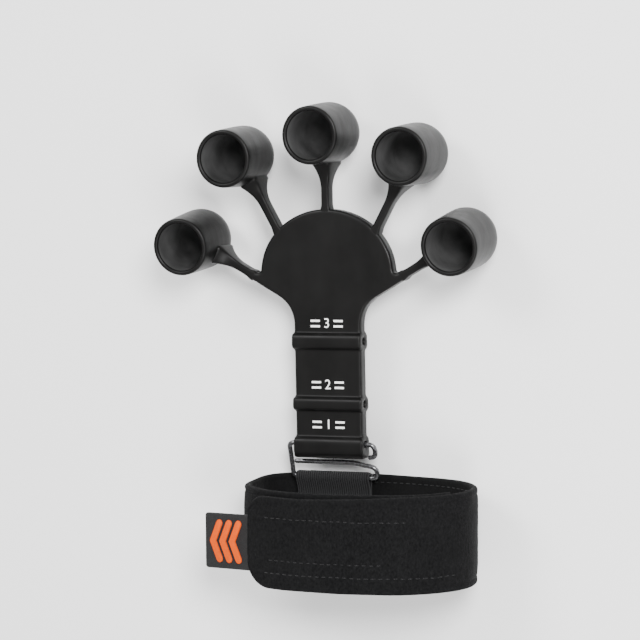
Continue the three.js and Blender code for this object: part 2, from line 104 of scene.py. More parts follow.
# ---- The looks' own dimensions, in millimetres ----
LIP_DEPTH = 1.5  # how far down inside the mouth the plain black silicone reaches; deeper in, the inside is painted paler as painted light
FLARE_LENGTH = 10.5  # 1.5 longer than the CAD part's
NECK_X = -CUP_R - 5.6  # the arm piece ends here and the neck piece takes over
PIECE_LAP = 0.1  # how far each of those two pieces reaches past that place
ARM_SINK = 1.2  # how far the arm piece reaches into the palm
PLATE_CELL, PLATE_ROUNDS = 0.42, 6  # the palm plate's mesh size, and its rounds of smoothing
NUMERAL_SIZE, NUMERAL_HALF_DEPTH = 5.6, 0.06
MARK_BAR_X, MARK_BAR_Y = 5, 1.1  # the middle of a short bar, from the numeral's middle
MARK_BAR_HALF_LENGTH, MARK_BAR_HALF_HEIGHT, MARK_BAR_DEPTH = 2, 0.4, 0.1
WIRE_GAP = 0.35  # between the wire and the webbing
FLAP_ROOT_ANGLE = FLAP_START - 0.6  # the turn piece and the flap piece meet here
FLAP_ROOT_LENGTH = 14  # the flap piece bends over this much of its root
LEFT_END_ANGLE, TUCK_REACH, TUCK_RISE = 168, 42, 7  # the lower rim is tucked up round this angle
PUFF, GROOVE_DEPTH, GROOVE_WIDTH = 0.2, 0.3, 0.55
STITCH_LENGTH, STITCH_PITCH, STITCH_R = 2.0, 2.9, 0.24
PATCH_ROWS = [(8, 62, 9.4), (10, 50, -7.4), (8, 82, -12.6)]  # from the flap's end, length, height
CORNER_UPPER, CORNER_LOWER = 7, 10  # the flap's corners, rounder than the CAD part's
FLAP_LOWER = 1.7  # the flap's upper rim lies this far below the inner turn's
LOWER_START, LOWER_LENGTH = 25, 45  # the stretch of the flap over which its rim comes down
TAB_TURN, TAB_SHIFT = math.radians(2.5), -0.6
TAB_TUCK = 2.6  # how far the tape runs on into the flap's end
TAB_CORNER = 1.4
CHEVRON_STROKE = 3.0  # narrower than the CAD part's
WEB_RIB_PITCH, WEB_RIB_DEPTH = 1.45, 0.05

# The CAD part's own layout is shifted this far along Y to centre it in the row frame.
SHIFT_Y = JOINTS["hook_swing"]["pos_m"][1] / MM - RING_BAR_Y
HAND = Matrix.Translation((0, SHIFT_Y, HAND_HEIGHT)) @ Matrix.Rotation(HAND_TILT, 4, "X")


# ---- Small helpers ----
def clamp(value):
    """The value kept between 0 and 1."""
    return max(0.0, min(1.0, value))


def mix(a, b, share):
    """The value a share of the way from a to b."""
    return a + (b - a) * share


def make_mesh(name, points, faces, material, smooth_angle=50):
    """A mesh piece from points in millimetres in the row frame."""
    mesh = bpy.data.meshes.new(name)
    mesh.from_pydata([Vector(p) * MM for p in points], [], faces)
    mesh.validate()
    mesh.update()
    mesh.shade_smooth()
    mesh.set_sharp_from_angle(angle=math.radians(smooth_angle))
    piece = bpy.data.objects.new(name, mesh)
    bpy.context.scene.collection.objects.link(piece)
    for one in material if isinstance(material, (list, tuple)) else [material]:
        mesh.materials.append(one)
    return piece


def steps(low, high, count):
    """Evenly spaced values from low to high, one more than count."""
    return [mix(low, high, i / count) for i in range(count + 1)]


def skin(rings):
    """Points and faces of a surface through equal closed rings, capped at both ends."""
    count = len(rings[0])
    points = [p for ring in rings for p in ring]
    faces = []
    for i in range(len(rings) - 1):
        for j in range(count):
            k = (j + 1) % count
            a, b = i * count, (i + 1) * count
            faces.append((a + j, a + k, b + k, b + j))
    faces.append(tuple(reversed(range(count))))
    last = (len(rings) - 1) * count
    faces.append(tuple(range(last, last + count)))
    return points, faces


def joined(parts):
    """One list of points and faces from several."""
    points, faces = [], []
    for some_points, some_faces in parts:
        start = len(points)
        points += some_points
        faces += [tuple(start + i for i in face) for face in some_faces]
    return points, faces


# ---- Materials ----
def new_material(name, base, roughness, **sockets):
    """A principled material, its node tree, and its shader."""
    material = bpy.data.materials.new(name)
    material.use_nodes = True
    nodes = material.node_tree.nodes
    shader = nodes["Principled BSDF"]
    shader.inputs["Base Color"].default_value = (*base, 1)
    shader.inputs["Roughness"].default_value = roughness
    for socket, value in sockets.items():
        shader.inputs[socket.replace("_", " ")].default_value = value
    return material, material.node_tree, shader


def texture(tree, kind, **values):
    """A texture node on object coordinates, which are metres in the row frame."""
    node = tree.nodes.new(kind)
    where = tree.nodes.new("ShaderNodeTexCoord")
    tree.links.new(where.outputs["Object"], node.inputs["Vector"])
    for name, value in values.items():
        node.inputs[name.replace("_", " ")].default_value = value
    return node


def ramp(tree, source, low, high):
    """Maps a 0..1 source between two colours, or two numbers."""
    if isinstance(low, tuple):
        node = tree.nodes.new("ShaderNodeValToRGB")
        stops = node.color_ramp.elements
        stops[0].position, stops[1].position = 0.3, 0.72
        stops[0].color, stops[1].color = (*low, 1), (*high, 1)
        tree.links.new(source, node.inputs["Fac"])
        return node.outputs["Color"]
    node = tree.nodes.new("ShaderNodeMapRange")
    node.inputs["To Min"].default_value = low
    node.inputs["To Max"].default_value = high
    tree.links.new(source, node.inputs["Value"])
    return node.outputs["Result"]


def bump(tree, shader, heights, distance):
    """Adds bump from one or more (height socket, strength) pairs."""
    normal = None
    for height, strength in heights:
        node = tree.nodes.new("ShaderNodeBump")
        node.inputs["Strength"].default_value = strength
        node.inputs["Distance"].default_value = distance
        tree.links.new(height, node.inputs["Height"])
        if normal:
            tree.links.new(normal, node.inputs["Normal"])
        normal = node.outputs["Normal"]
    tree.links.new(normal, shader.inputs["Normal"])


def stretched(tree, node, scale):
    """Stretches a texture along one axis: a smaller scale is longer."""
    where = node.inputs["Vector"].links[0].from_socket
    mapping = tree.nodes.new("ShaderNodeMapping")
    mapping.inputs["Scale"].default_value = scale
    tree.links.new(where, mapping.inputs["Vector"])
    tree.links.new(mapping.outputs["Vector"], node.inputs["Vector"])


def silicone(name="silicone", dark=(0.0030, 0.0029, 0.0028), pale=(0.0052, 0.0050, 0.0049)):
    """Moulded silicone: satin black with long, faint flow streaks in its shine."""
    material, tree, shader = new_material(name, dark, 0.4)
    shader.inputs["Specular IOR Level"].default_value = 0.35
    shader.inputs["IOR"].default_value = 1.3
    cloud = texture(tree, "ShaderNodeTexNoise", Scale=70, Detail=4, Roughness=0.5)
    streak = texture(tree, "ShaderNodeTexNoise", Scale=150, Detail=3)
    stretched(tree, streak, (1, 0.3, 1))
    grain = texture(tree, "ShaderNodeTexNoise", Scale=2600, Detail=2)
    base = ramp(tree, cloud.outputs["Fac"], dark, pale)
    tree.links.new(base, shader.inputs["Base Color"])
    tree.links.new(ramp(tree, streak.outputs["Fac"], 0.26, 0.52), shader.inputs["Roughness"])
    bump(tree, shader, [(grain.outputs["Fac"], 0.06), (streak.outputs["Fac"], 0.35)], 0.0004)
    return material


def napped(name, dark, light, fleck=0.5):
    """Loop or knitted fabric: a fuzzy nap with lighter flecks and faint upright wales."""
    material, tree, shader = new_material(name, dark, 0.95, Sheen_Weight=0.03, Sheen_Roughness=0.4)
    shader.inputs["Specular IOR Level"].default_value = 0.04
    nap = texture(tree, "ShaderNodeTexNoise", Scale=1250, Detail=6, Roughness=0.85)
    stretched(tree, nap, (1, 0.6, 1))
    wale = texture(tree, "ShaderNodeTexNoise", Scale=1100, Detail=2)
    stretched(tree, wale, (1, 0.22, 1))
    worn = texture(tree, "ShaderNodeTexNoise", Scale=60, Detail=3)
    flecks = ramp(tree, nap.outputs["Fac"], dark, light)
    worn_light = tuple(mix(low, high, 0.35) for low, high in zip(dark, light))
    wear = ramp(tree, worn.outputs["Fac"], dark, worn_light)
    both = tree.nodes.new("ShaderNodeMix")
    both.data_type = "RGBA"
    both.inputs["Factor"].default_value = fleck
    tree.links.new(wear, both.inputs["A"])
    tree.links.new(flecks, both.inputs["B"])
    tree.links.new(both.outputs["Result"], shader.inputs["Base Color"])
    tree.links.new(ramp(tree, nap.outputs["Fac"], 0.85, 1.0), shader.inputs["Roughness"])
    heights = [(nap.outputs["Fac"], 0.8), (wale.outputs["Fac"], 0.5)]
    bump(tree, shader, heights, 0.0004)
    return material


def ribbed(name, dark, light, per_metre, direction):
    """Woven tape: ribs across one axis and a fine yarn texture."""
    material, tree, shader = new_material(name, dark, 0.7, Sheen_Weight=0.05)
    shader.inputs["Specular IOR Level"].default_value = 0.15
    ribs = texture(tree, "ShaderNodeTexWave", Scale=per_metre, Distortion=0.6, Detail=1)
    ribs.wave_type = "BANDS"
    ribs.bands_direction = direction
    yarn = texture(tree, "ShaderNodeTexNoise", Scale=1800, Detail=4)
    tree.links.new(ramp(tree, ribs.outputs["Fac"], dark, light), shader.inputs["Base Color"])
    tree.links.new(ramp(tree, yarn.outputs["Fac"], 0.55, 0.85), shader.inputs["Roughness"])
    bump(tree, shader, [(ribs.outputs["Fac"], 0.8), (yarn.outputs["Fac"], 0.3)], 0.0005)
    return material


def plain(name, base, roughness, grain_scale, spread=0.25, strength=0.2, **sockets):
    """A material with a fine grain in its colour, roughness and bump."""
    material, tree, shader = new_material(name, base, roughness, **sockets)
    grain = texture(tree, "ShaderNodeTexNoise", Scale=grain_scale, Detail=4)
    low = tuple(c * (1 - spread) for c in base)
    high = tuple(min(1, c * (1 + spread)) for c in base)
    tree.links.new(ramp(tree, grain.outputs["Fac"], low, high), shader.inputs["Base Color"])
    rough = ramp(tree, grain.outputs["Fac"], clamp(roughness - 0.1), clamp(roughness + 0.1))
    tree.links.new(rough, shader.inputs["Roughness"])
    bump(tree, shader, [(grain.outputs["Fac"], strength)], 0.0003)
    return material


MATERIALS = {
    "silicone": silicone(),
    # The cups' inside: the same black silicone painted much paler, as painted light standing in for light inside
    # the mouth
    "cup_inside_painted_light": silicone("cup_inside_painted_light", (0.03, 0.03, 0.03), (0.085, 0.085, 0.085)),
    "print": plain("print", (0.9, 0.9, 0.88), 0.5, 1500, 0.05, 0.1),
    "wire": plain("wire", (0.13, 0.13, 0.135), 0.26, 900, 0.35, 0.12, Metallic=0.85),
    "webbing": ribbed("webbing", (0.002, 0.002, 0.0022), (0.014, 0.014, 0.015), 330, "X"),
    "thread": ribbed("thread", (0.004, 0.004, 0.0042), (0.022, 0.022, 0.023), 900, "DIAGONAL"),
    "loop_fabric": napped("loop_fabric", (0.0005, 0.0005, 0.0006), (0.0145, 0.0145, 0.015), 0.75),
    "foam": plain("foam", (0.010, 0.010, 0.010), 0.9, 1100, 0.5, 0.6),
    "lining": napped("lining", (0.003, 0.003, 0.0031), (0.013, 0.013, 0.0133), 0.5),
    "hook_tape": ribbed("hook_tape", (0.004, 0.004, 0.0045), (0.02, 0.02, 0.021), 420, "Y"),
    "tab_fabric": ribbed("tab_fabric", (0.010, 0.010, 0.0105), (0.018, 0.018, 0.0185), 700, "Y"),
    "chevron": plain("chevron", (0.62, 0.072, 0), 0.8, 1300, 0.08, 0.15, Specular_IOR_Level=0.08),
}
SLOTS = {part["node"]: part["material_slot"] for part in frame["record"]["subparts"]}
for node, piece in frame["nodes"].items():
    for slot in piece.material_slots:
        slot.material = MATERIALS[SLOTS[node]]


# ---- Finger cups and arms ----
def lathe(profile, matrix, segments=96):
    """A turned surface about the local Z axis; the profile starts and ends on the axis."""
    points, faces = [], []
    for radius, z in profile[1:-1]:
        for j in range(segments):
            turn = 2 * math.pi * j / segments
            points.append(Vector((radius * math.cos(turn), radius * math.sin(turn), z)))
    for i in range(len(profile) - 3):
        for j in range(segments):
            k = (j + 1) % segments
            a, b = i * segments, (i + 1) * segments
            faces.append((a + j, a + k, b + k, b + j))
    first, last = len(points), len(points) + 1
    points += [Vector((0, 0, profile[0][1])), Vector((0, 0, profile[-1][1]))]
    start = (len(profile) - 3) * segments
    for j in range(segments):
        k = (j + 1) % segments
        faces.append((first, k, j))
        faces.append((last, start + j, start + k))
    return [matrix @ p for p in points], faces


def cup_profile():
    """The cup's section as radius and height: outside, over the lip, and down the inside."""
    inner, mouth = CUP_R - CUP_WALL, CUP_MOUTH_R - CUP_WALL
    lip = CUP_WALL / 2
    dome = [(math.sin(t) * CUP_R, -math.cos(t) * CUP_R) for t in steps(0, math.pi / 2, 16)]
    wall = [
        (mix(CUP_R, CUP_MOUTH_R, t ** 1.4), t * (CUP_DEPTH - lip)) for t in steps(0, 1, 9)[1:]
    ]
    middle = CUP_MOUTH_R - lip
    rim = [
        (middle + lip * math.cos(t), CUP_DEPTH - lip + lip * math.sin(t))
        for t in steps(0, math.pi, 9)[1:-1]
    ]
    inside = [(mix(mouth, inner, t), (1 - t) * (CUP_DEPTH - lip)) for t in steps(0, 1, 8)]
    bowl = [(math.sin(t) * inner, -math.cos(t) * inner) for t in steps(math.pi / 2, 0, 12)[1:]]
    return dome + wall + rim + inside + bowl


def arm_ring(x, width, up, down, count=32, power=0.32):
    """A rounded rectangle across the arm at one place along it."""
    ring = []
    for j in range(count):
        turn = 2 * math.pi * j / count
        c, s = math.cos(turn), math.sin(turn)
        y = width * math.copysign(abs(c) ** power, c)
        z = (up if s > 0 else down) * math.copysign(abs(s) ** power, s)
        ring.append(Vector((x, y, z)))
    return ring


def arm_size(x, root):
    """Half width, reach up and reach down of the arm at x."""
    share = clamp((x + CUP_R + FLARE_LENGTH) / FLARE_LENGTH)
    half, face = ARM_W / 2, PLATE_T / 2 - 0.05
    width = half + (FLARE_W / 2 - half) * share ** 1.9
    width += 0.5 * clamp((root + 2.5 - x) / 2.5) ** 2
    up = face + (FLARE_UP - face) * share ** 2.6
    down = face + (FLARE_DOWN - face) * share ** 2.6
    return width, up, down


def palm_edge(at, heading):
    """Where the arm's line enters the palm or its shoulder, as an arm-frame x."""
    direction = Vector((math.cos(heading), math.sin(heading)))
    x = -CUP_R
    while True:
        place = Vector(at) + direction * x
        if (place.x / PALM_RX) ** 2 + (place.y / PALM_RY) ** 2 < 1:
            return x
        if abs(at[1]) < 30 and x < SHOULDER_REACH - Vector(at).length:
            return x
        x -= 0.1


def cup_radius(point):
    """How far a point in the cup's frame is from its axis, or in the dome from its centre."""
    return Vector((point.x, point.y, min(point.z, 0))).length


def into_cup(point, arm_frame, cup_frame):
    """The point moved along the arm's X until it's 1 mm inside the cup's outer skin."""
    to_cup = cup_frame.inverted()
    step = arm_frame.to_3x3() @ Vector((0.1, 0, 0))
    for _ in range(80):
        if cup_radius(to_cup @ point) < CUP_R - 1:
            break
        point = point + step
    return point


def finger_cup(number, cup_frame):
    """A turned cup, its inside painted paler as painted light that stands in for the light falling inside its
    mouth.
    """
    skins = [MATERIALS["silicone"], MATERIALS["cup_inside_painted_light"]]
    cup = make_mesh(f"finger_cup_{number}", *lathe(cup_profile(), cup_frame), skins)
    to_cup = cup_frame.inverted()
    # Faces deep inside the mouth take the paler material, which is painted light, not a different silicone
    for face in cup.data.polygons:
        middle = to_cup @ (face.center / MM)
        deep = middle.z < CUP_DEPTH - LIP_DEPTH
        face.material_index = int(deep and cup_radius(middle) < CUP_MOUTH_R - CUP_WALL / 2)
    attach(cup, f"cup_{number}")
    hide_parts(f"cup_{number}")


def arm_piece(name, low, high, count, root, arm_frame, cup_frame=None):
    """A stretch of the arm from low to high along it, which ends in the cup if there is one."""
    rings = [
        [arm_frame @ p for p in arm_ring(x, *arm_size(x, root))] for x in steps(low, high, count)
    ]
    if cup_frame:
        rings.append([into_cup(p, arm_frame, cup_frame) for p in rings[-1]])
    piece = make_mesh(name, *skin(rings), MATERIALS["silicone"])
    return piece


def finger(number, at, heading, lean):
    """A cup, the arm from the palm to its flare, and the neck that joins them."""
    here = Matrix.Translation((*at, 0))
    arm_frame = HAND @ here @ Matrix.Rotation(heading, 4, "Z")
    cup_frame = HAND @ Matrix.Translation((*at, CUP_Z)) @ Matrix.Rotation(lean, 4, "X")
    finger_cup(number, cup_frame)

    def along(*places):
        return [(arm_frame @ Vector((x, 0, 0))) * MM for x in places]

    root = palm_edge(at, heading)
    arm = arm_piece(
        f"finger_arm_{number}", root - ARM_SINK, NECK_X + PIECE_LAP, 22, root, arm_frame
    )
    neck = arm_piece(
        f"finger_neck_{number}", NECK_X - PIECE_LAP, -CUP_R - 0.2, 14, root, arm_frame, cup_frame
    )
    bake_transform(arm)
    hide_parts(f"arm_{number}")
    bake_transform(neck)


for number, (at, degrees, lean) in enumerate(FINGERS, start=1):
    finger(number, at, math.radians(degrees), math.radians(lean))


# ---- Palm plate: the CAD solid with moulded, softly rounded edges ----
def softened(name, source, cell, rounds):
    """A fine remeshed copy of a CAD mesh with its edges rounded off."""
    piece = bpy.data.objects.new(name, source.data.copy())
    bpy.context.scene.collection.objects.link(piece)
    piece.matrix_world = source.matrix_world
    remesh = piece.modifiers.new("remesh", "REMESH")
    remesh.mode, remesh.voxel_size = "VOXEL", cell * MM
    smooth = piece.modifiers.new("smooth", "SMOOTH")
    smooth.factor, smooth.iterations = 0.5, rounds
    bpy.context.view_layer.update()
    solid = piece.evaluated_get(bpy.context.evaluated_depsgraph_get())
    mesh = bpy.data.meshes.new_from_object(solid)
    piece.modifiers.clear()
    piece.data = mesh
    mesh.shade_smooth()
    mesh.materials.clear()
    mesh.materials.append(MATERIALS["silicone"])
    return piece


plate = softened("palm_plate", frame["nodes"]["palm_and_stem"], PLATE_CELL, PLATE_ROUNDS)
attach(plate, "palm")
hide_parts("palm_and_stem")


# ---- Level marks: a numeral between two pairs of short bars ----
def level_mark(name, y, numeral):
    """A printed numeral, and the bars on its left and right."""
    curve = bpy.data.curves.new(name, "FONT")
    curve.body = numeral
    curve.size = NUMERAL_SIZE * MM
    curve.align_x, curve.align_y = "CENTER", "CENTER"
    curve.extrude = NUMERAL_HALF_DEPTH * MM
    label = bpy.data.objects.new(name, curve)
    bpy.context.scene.collection.objects.link(label)
    bpy.context.view_layer.update()
    solid = label.evaluated_get(bpy.context.evaluated_depsgraph_get())
    mesh = bpy.data.meshes.new_from_object(solid)
    bpy.data.objects.remove(label)
    points = [Vector(v.co) / MM for v in mesh.vertices]
    faces = [tuple(p.vertices) for p in mesh.polygons]
    parts = [(points, faces)]
    length, height = MARK_BAR_HALF_LENGTH, MARK_BAR_HALF_HEIGHT
    corners = [(-length, -height), (length, -height), (length, height), (-length, height)]
    for bar_x in (-MARK_BAR_X, MARK_BAR_X):
        for bar_y in (-MARK_BAR_Y, MARK_BAR_Y):
            ring = [Vector((bar_x + dx, bar_y + dy, 0)) for dx, dy in corners]
            lifted = [p + Vector((0, 0, MARK_BAR_DEPTH)) for p in ring]
            parts.append(skin([ring, lifted]))
    lift = HAND @ Matrix.Translation((0, y, PLATE_T / 2 + 0.05))
    points, faces = joined(parts)
    mark = make_mesh(f"printed_{name}", [lift @ p for p in points], faces, MATERIALS["print"], 20)
    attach(mark, "palm")
    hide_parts(name)


for name, (y, numeral) in MARKS.items():
    level_mark(name, y, numeral)


# ---- Bent wire ----
def bezier(a, b, c, count=8):
    """Points along a curve from a to c that b pulls."""
    return [(a * (1 - t) + b * t) * (1 - t) + (b * (1 - t) + c * t) * t for t in steps(0, 1, count)]


def wire_path():
    """The wire's middle line: the open hook, the tunnel, the left side, then round the ring."""
    tunnel = HAND @ Vector((0, TUNNEL_Y, TUNNEL_Z))
    bar = Vector((0, RING_BAR_Y + SHIFT_Y, RING_BAR_Z))
    up = tunnel - bar
    far = up.length
    up.normalize()
    half, curl, low = WIRE_HALF, HOOK_CURL_R, RING_MID - RING_SLOPE

    def at(x, rise):
        return bar + up * rise + Vector((x, 0, 0))

    corners = [
        [at(half - curl + 0.5, far - 2 * curl), at(half + 0.2, far - 2 * curl), at(half, far - curl)],
        [at(half, far - curl), at(half - 0.1, far), at(half - curl, far)],
        [at(2.4 - half, far), at(-half - 0.3, far), at(-half, far - 2.6)],
        [at(-half, 2.4), at(-half, 0), at(2.4 - half, 0)],
        [at(half - 3.2, 0), at(half - 0.3, 0), at(half - 0.3, low / 2)],
        [at(half - 0.3, low / 2), at(half - 0.3, low), at(half - 3, low + 0.6)],
        [at(half - 7, RING_MID - 0.8), at(half - 9, RING_MID - 0.2), at(half - 12, RING_MID - 0.1)],
    ]
    path = [p for corner in corners for p in bezier(*corner)]
    path.append(at(-half + 2 * WIRE_R + 0.2, RING_MID))
    return path


def tube(path, radius, sides=20):
    """A round tube with rounded ends, its rings carried along the path without twist."""
    rings = []
    normal = None
    for i, place in enumerate(path):
        ahead = path[min(i + 1, len(path) - 1)] - path[max(i - 1, 0)]
        ahead.normalize()
        guess = normal if normal else Vector((0, 0.3, 1))
        normal = (guess - ahead * guess.dot(ahead)).normalized()
        side = ahead.cross(normal)
        ends = [(0, 1)]
        if i == 0:
            ends = [(-math.cos(t), math.sin(t)) for t in steps(0.15, math.pi / 2, 4)]
        if i == len(path) - 1:
            ends = [(math.cos(t), math.sin(t)) for t in reversed(steps(0.15, math.pi / 2, 4))]
        for out, size in ends:
            centre = place + ahead * out * radius
            turns = [2 * math.pi * j / sides for j in range(sides)]
            rings.append([
                centre + (normal * math.cos(t) + side * math.sin(t)) * radius * size for t in turns
            ])
    return skin(rings)


def thinned(path, least=0.25):
    """The path without points that lie closer together than `least`."""
    kept = [path[0]]
    for place in path[1:]:
        if (place - kept[-1]).length > least:
            kept.append(place)
    return kept


wire = make_mesh("bent_wire", *tube(thinned(wire_path()), WIRE_R), MATERIALS["wire"])
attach(wire, "hook")
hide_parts("wire_hook")


# ---- Strap ----
def oval_point(degrees, offset):
    """A point on the strap's oval, moved out along its normal: the CAD part's own section."""
    def at(turn):
        c, s = math.cos(turn), math.sin(turn)
        low = LOW_LEFT_POWER if c < 0 else LOW_RIGHT_POWER
        power = 2 / (low if s < 0 else TOP_POWER)
        return Vector((
            BAND_X + BAND_HALF * math.copysign(abs(c) ** power, c),
            BAND_RISE + BAND_RISE * math.copysign(abs(s) ** power, s),
        ))
    turn = math.radians(degrees)
    along = (at(turn + 0.02) - at(turn - 0.02)).normalized()
    return at(turn) + Vector((along.y, -along.x)) * offset


def lift_at(degrees):
    """How far the strap has risen off its oval to pass over its own first turn."""
    share = clamp((degrees - RAMP_START) / (FLAP_START - RAMP_START))
    return FLAP_LIFT * share * share * (3 - 2 * share)


class StrapPath:
    """A run of strap seen along Y: places by distance, and the way outward there."""

    def __init__(self, start, end, tail=0):
        degrees = steps(start, end, max(2, int((end - start) / 1.25)))
        self.places = [oval_point(d, lift_at(d)) for d in degrees]
        if tail:
            last, before = oval_point(end, FLAP_LIFT), oval_point(end - 1, FLAP_LIFT)
            way = (last - before).normalized()
            way.rotate(Matrix.Rotation(-TAIL_DROP, 2))
            self.places += [last + way * tail * t for t in steps(0, 1, 10)[1:]]
        self.distances = [0]
        for a, b in zip(self.places, self.places[1:]):
            self.distances.append(self.distances[-1] + (b - a).length)
        self.length = self.distances[-1]

    def place(self, distance):
        """The place at a distance; past either end the run goes on straight."""
        last = len(self.places) - 2
        i = next((i for i, d in enumerate(self.distances[1:]) if d >= distance), last)
        i = min(i, last)
        a, b = self.places[i], self.places[i + 1]
        share = (distance - self.distances[i]) / (self.distances[i + 1] - self.distances[i])
        return a.lerp(b, share)

    def point(self, distance, y, offset):
        """y is measured from the strap's middle line, offset from its outer face."""
        ahead = self.place(min(distance + 0.4, self.length))
        way = (ahead - self.place(max(distance - 0.4, 0))).normalized()
        place = self.place(distance) + Vector((way.y, -way.x)) * offset
        z = max(place.y, BAND_FLAT)
        shift = -BAND_LEAN * (place.y - BAND_RISE)
        return Vector((place.x, BAND_Y + SHIFT_Y + y + shift, z - BAND_FLAT))


def strap_mesh(name, path, round_end=False, tuck_at=None):
    """A soft strap: rounded rims, a nap that isn't quite even, and a groove at each seam.

    tuck_at is the distance at which the lower rim is tucked up."""
    half_width, outer, inner = BAND_W / 2, STRAP_OUT, STRAP_IN
    rim = (outer - inner) / 2
    centre = inner + rim
    across = [0, 0.12, 0.35, 0.7, 1.1, 1.7, 2.3, 2.8, 3.2, 3.8, 4.6]
    middle = steps(5.6, 2 * half_width - 5.6, 14)
    spread = across + middle + [2 * half_width - d for d in reversed(across)]
    count = len(spread)

    def edges(distance):
        left = path.length - distance
        low, high = -half_width, half_width
        if round_end:
            high -= FLAP_LOWER * clamp((distance - LOWER_START) / LOWER_LENGTH)
            if left < CORNER_LOWER:
                rest = CORNER_LOWER - left
                low += CORNER_LOWER - math.sqrt(max(0, CORNER_LOWER ** 2 - rest ** 2))
            if left < CORNER_UPPER:
                rest = CORNER_UPPER - left
                high -= CORNER_UPPER - math.sqrt(max(0, CORNER_UPPER ** 2 - rest ** 2))
        elif tuck_at:
            share = clamp(1 - abs(distance - tuck_at) / TUCK_REACH)
            low += TUCK_RISE * share * share * (3 - 2 * share)
        return low, high

    def ring(distance, squeeze=1.0):
        low, high = edges(distance)
        scale = (high - low) / (2 * half_width)
        top, bottom = [], []
        for d in spread:
            y = low + d * scale
            edge = min(d, 2 * half_width - d)
            drop = rim - math.sqrt(max(0, rim ** 2 - (rim - min(edge, rim)) ** 2))
            groove = GROOVE_DEPTH * math.exp(-(((edge - SEAM) / GROOVE_WIDTH) ** 2))
            crown = PUFF * clamp((edge - SEAM) / 5)
            where = Vector((distance, y, 0)) * 0.16
            fuzz = 0.16 * noise.noise(where) + 0.09 * noise.noise(where * 3.1)
            wave = 0.25 * noise.noise(Vector((distance * 0.05, 7 if d > half_width else 3, 0)))
            up = outer - drop - groove + crown + fuzz * clamp(edge / 2)
            down = inner + drop + groove * 0.4 + 0.5 * fuzz * clamp(edge / 2)
            y += wave
            top.append(path.point(distance, y, centre + (up - centre) * squeeze))
            bottom.append(path.point(distance, y, centre + (down - centre) * squeeze))
        return top + bottom[::-1]

    distances = steps(0, path.length, int(path.length / 0.9))
    if round_end:
        tail = [path.length - CORNER_LOWER * (1 - math.sin(t)) for t in steps(0, math.pi / 2, 14)]
        distances = [d for d in distances if d < tail[0] - 0.3] + tail
    rings = [ring(d) for d in distances]
    end = distances[-1]
    for t in steps(0, math.pi / 2 - 0.2, 4)[1:]:
        rings.append(ring(end, math.cos(t)))
    piece = make_mesh(name, *skin(rings), [MATERIALS["loop_fabric"], MATERIALS["lining"]], 70)
    width = 2 * count
    for face in piece.data.polygons[:-2]:
        inside = all(i % width >= count for i in face.vertices)
        face.material_index = 1 if inside else 0
    return piece


turn_path = StrapPath(TURN_START, FLAP_ROOT_ANGLE)
LEFT_END = StrapPath(TURN_START, LEFT_END_ANGLE).length  # where the oval's left end is
turn = strap_mesh("strap_turn", turn_path, tuck_at=LEFT_END)
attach(turn, "wristband")
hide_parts("band_fabric", "band_core", "band_lining")

flap_path = StrapPath(FLAP_ROOT_ANGLE, FLAP_LEAVE, FLAP_TAIL)
flap = strap_mesh("strap_flap", flap_path, round_end=True)
FLAP_ROOT = [flap_path.point(0, 0, 0) * MM, flap_path.point(FLAP_ROOT_LENGTH, 0, 0) * MM]


def stitches(name, runs, body, replaced=(), blended=None):
    """Rows of short thread stitches. Each run is its length and a function from distance to point."""
    parts = []
    for total, where in runs:
        count = max(1, int(total / STITCH_PITCH))
        for i in range(count):
            middle = (i + 0.5) * total / count
            a, b = (where(middle + end * STITCH_LENGTH / 2) for end in (-1, 1))
            centre, along = (a + b) / 2, (b - a)
            half = along.length / 2
            along.normalize()
            side = along.cross(Vector((0.31, 0.22, 0.92))).normalized()
            up = side.cross(along)
            rings = []
            for t in steps(-1, 1, 6):
                size = STITCH_R * max(0.15, math.sqrt(max(0, 1 - t * t)))
                rings.append([
                    centre + along * t * half + (side * math.cos(angle) + up * math.sin(angle)) * size
                    for angle in (2 * math.pi * j / 8 for j in range(8))
                ])
            parts.append(skin(rings))
    piece = make_mesh(name, *joined(parts), MATERIALS["thread"], 60)
    if blended:
        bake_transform(piece)
    else:
        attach(piece, body)
    if replaced:
        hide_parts(*replaced)
    return piece


def patch_row(inset, length, height):
    """A row of stitches that holds the hook tape, not quite straight."""
    start = flap_path.length - inset - length

    def where(distance):
        stray = 0.25 * noise.noise(Vector((distance * 0.2, height, 0)))
        return flap_path.point(start + distance, height + stray, 0.1)

    return length, where


patch_runs = [patch_row(*row) for row in PATCH_ROWS]
stitches("flap_stitching", patch_runs, "flap", ["flap_seam"], ["wristband", "flap", *FLAP_ROOT])
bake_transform(flap)
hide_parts("flap_fabric", "flap_core", "flap_lining")


# ---- Hook tape under the flap ----
def hook_tape():
    """A thin tape along the flap's underside, its face in fine rows of hooks."""
    start, end = (
        StrapPath(FLAP_ROOT_ANGLE, angle).length for angle in (HOOK_TAPE_FROM, HOOK_TAPE_TO)
    )
    half = BAND_W / 2 - SEAM
    outer, inner = STRAP_IN - HOOK_TAPE_GAP, STRAP_IN - HOOK_TAPE_UNDER
    across = [-half, -half + 0.1, -half + 0.3, -half + 0.7]
    across += steps(-half + 1.2, half - 1.2, 60) + [-y for y in reversed(across)]
    rings = []
    for d in steps(start, end, 130):
        edge = min(d - start, end - d)
        top, low = [], []
        for y in across:
            rim = min(half - abs(y), edge)
            thin = 0.2 * (1 - clamp(rim / 0.3))
            hooks = 0.09 * math.sin(d * 7.5) * math.sin(y * 5.5) * clamp((rim - 0.6) / 0.5)
            top.append(flap_path.point(d, y, outer - thin))
            low.append(flap_path.point(d, y, inner + 0.1 + thin + hooks))
        rings.append(top + low[::-1])
    return skin(rings)


patch = make_mesh("hook_tape_patch", *hook_tape(), MATERIALS["hook_tape"], 70)
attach(patch, "flap")
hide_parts("hook_patch")


# ---- Seams inside the turn, before and after the tucked left end ----
def turn_seam(side, start, length):
    """A run of stitches along the upper or lower rim, on the inner face."""
    y = side * (BAND_W / 2 - SEAM)
    return length, lambda distance: turn_path.point(start + distance, y, STRAP_IN + 0.12)


